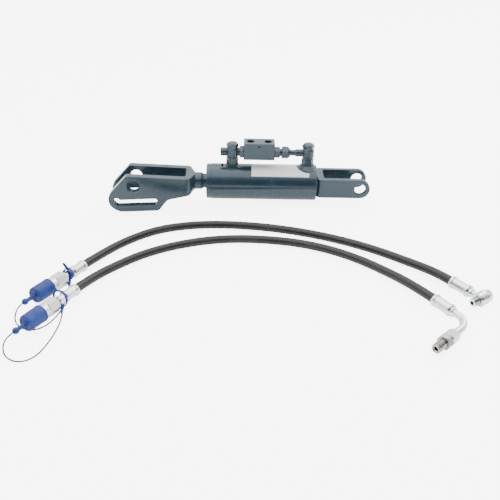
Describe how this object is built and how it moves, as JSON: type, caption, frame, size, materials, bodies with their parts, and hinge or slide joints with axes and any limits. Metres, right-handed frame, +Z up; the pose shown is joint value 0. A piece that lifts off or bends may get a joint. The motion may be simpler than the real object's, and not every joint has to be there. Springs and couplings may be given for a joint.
{
  "type": "tractor lift arm",
  "caption": "Hydraulic lift arm: a tube with a fork at its base, a sliding rod with a slotted fork, a lock valve on top, and a pair of hoses with capped plugs.",
  "frame": {"origin": "middle of the arm's footprint, on the floor it rests on; the hoses lying in front are not counted", "axes": "+X along the arm from the rod fork to the fixed fork, +Y away from the hoses, +Z up"},
  "size_m": [0.7899, 0.5736, 0.1365],
  "materials": {
    "slate_paint": "dark slate blue-grey enamel, satin",
    "zinc_plate": "bright zinc plate, slightly dulled",
    "hard_chrome": "hard chrome, polished",
    "bare_steel": "turned steel, oiled",
    "spring_steel": "drawn spring wire",
    "bronze": "sintered bearing bronze",
    "black_rubber": "smooth moulded rubber",
    "hose_rubber": "wrapped hose cover, matt",
    "seal_plastic": "hard seal plastic",
    "bonded_washer": "metal ring with a rubber lip",
    "blue_plastic": "soft moulded plastic, royal blue"
  },
  "bodies": {
    "barrel": {"cylinder_tube": "slate_paint", "gland": "slate_paint", "gland_lock_wire": "bare_steel", "gland_o_ring": "black_rubber", "wiper_ring": "seal_plastic", "rod_seal": "black_rubber", "rod_guide_bush": "bronze", "base_plug": "bare_steel", "fixed_fork": "slate_paint", "weld_beads": "slate_paint", "rod_end_port_boss": "slate_paint", "base_end_port_boss": "slate_paint", "rod_end_riser": "slate_paint", "base_end_riser": "slate_paint", "rod_end_banjo": "slate_paint", "base_end_banjo": "slate_paint", "rod_end_banjo_bolt": "slate_paint", "base_end_banjo_bolt": "slate_paint", "sealing_washers": "bonded_washer", "banjo_lock_nut": "slate_paint", "valve_block": "slate_paint", "check_seats": "bare_steel", "check_springs": "spring_steel", "stud_adapter": "slate_paint", "union_nut": "slate_paint", "cutting_ring": "bare_steel", "bridge_pipe": "slate_paint", "rear_hose": "hose_rubber", "front_hose": "hose_rubber", "rear_plug_ferrule": "zinc_plate", "front_plug_ferrule": "zinc_plate", "rear_plug_body": "zinc_plate", "front_plug_body": "zinc_plate", "plug_springs": "spring_steel", "strap_rings": "blue_plastic", "rear_cap_strap": "blue_plastic", "front_cap_strap": "blue_plastic", "rear_banjo_ferrule": "zinc_plate", "front_elbow_ferrule": "zinc_plate", "rear_banjo_eye": "zinc_plate", "hollow_bolt_washers": "bonded_washer", "front_elbow_pipe": "zinc_plate", "male_adapter": "zinc_plate"},
    "piston_set": {"piston": "bare_steel", "piston_seal": "black_rubber", "piston_guide_rings": "seal_plastic", "piston_nut": "zinc_plate"},
    "rod_and_fork": {"piston_rod": "hard_chrome", "rod_fork": "slate_paint", "rod_weld_bead": "slate_paint"},
    "pilot": {"pilot_piston": "bare_steel", "pilot_o_ring": "black_rubber"},
    "rod_side_check": {"check_poppet_rod_side": "bare_steel"},
    "base_side_check": {"check_poppet_base_side": "bare_steel"},
    "rear_valve": {"rear_plug_valve": "bare_steel"},
    "front_valve": {"front_plug_valve": "bare_steel"},
    "rear_cap": {"rear_dust_cap": "blue_plastic"},
    "front_cap": {"front_dust_cap": "blue_plastic"},
    "banjo_bolt": {"hollow_bolt": "zinc_plate"},
    "swivel": {"swivel_nut": "zinc_plate"}
  },
  "joints": [
    {"name": "rod_slide", "type": "slide", "parent": "barrel", "child": "piston_set", "axis": [-0.9985, 0, 0.0541], "range_m": [0, 0.11]},
    {"name": "rod_turn", "type": "hinge", "parent": "piston_set", "child": "rod_and_fork", "pos_m": [-0.12908, 0, 0.0531], "axis": [-0.9985, 0, 0.0541], "continuous": true},
    {"name": "pilot_shift", "type": "slide", "parent": "barrel", "child": "pilot", "axis": [0.9985, 0, -0.0541], "range_m": [-0.0012, 0.0012]},
    {"name": "rod_side_check_lift", "type": "slide", "parent": "barrel", "child": "rod_side_check", "axis": [-0.9985, 0, 0.0541], "range_m": [0, 0.002], "stiffness_N_per_m": 600, "springref_m": -0.002, "deforming": ["check_springs"]},
    {"name": "base_side_check_lift", "type": "slide", "parent": "barrel", "child": "base_side_check", "axis": [0.9985, 0, -0.0541], "range_m": [0, 0.002], "stiffness_N_per_m": 600, "springref_m": -0.002, "deforming": ["check_springs"]},
    {"name": "rear_valve_push", "type": "slide", "parent": "barrel", "child": "rear_valve", "axis": [0.5122, 0.8573, -0.0521], "range_m": [0, 0.005], "stiffness_N_per_m": 2000, "springref_m": -0.004, "deforming": ["plug_springs"]},
    {"name": "front_valve_push", "type": "slide", "parent": "barrel", "child": "front_valve", "axis": [0.4691, 0.8808, -0.0646], "range_m": [0, 0.005], "stiffness_N_per_m": 2000, "springref_m": -0.004, "deforming": ["plug_springs"]},
    {"name": "rear_cap_pull", "type": "slide", "parent": "barrel", "child": "rear_cap", "axis": [-0.5122, -0.8573, 0.0521], "range_m": [0, 0.034], "deforming": ["rear_cap_strap"]},
    {"name": "front_cap_pull", "type": "slide", "parent": "barrel", "child": "front_cap", "axis": [-0.4691, -0.8808, 0.0646], "range_m": [0, 0.034], "deforming": ["front_cap_strap"]},
    {"name": "banjo_bolt_turn", "type": "hinge", "parent": "barrel", "child": "banjo_bolt", "pos_m": [0.39784, -0.40568, 0.0122], "axis": [0.8343, 0.5513, 0], "continuous": true},
    {"name": "swivel_nut_turn", "type": "hinge", "parent": "barrel", "child": "swivel", "pos_m": [0.32553, -0.50108, 0.0114], "axis": [-0.7323, -0.681, 0], "continuous": true}
  ]
}
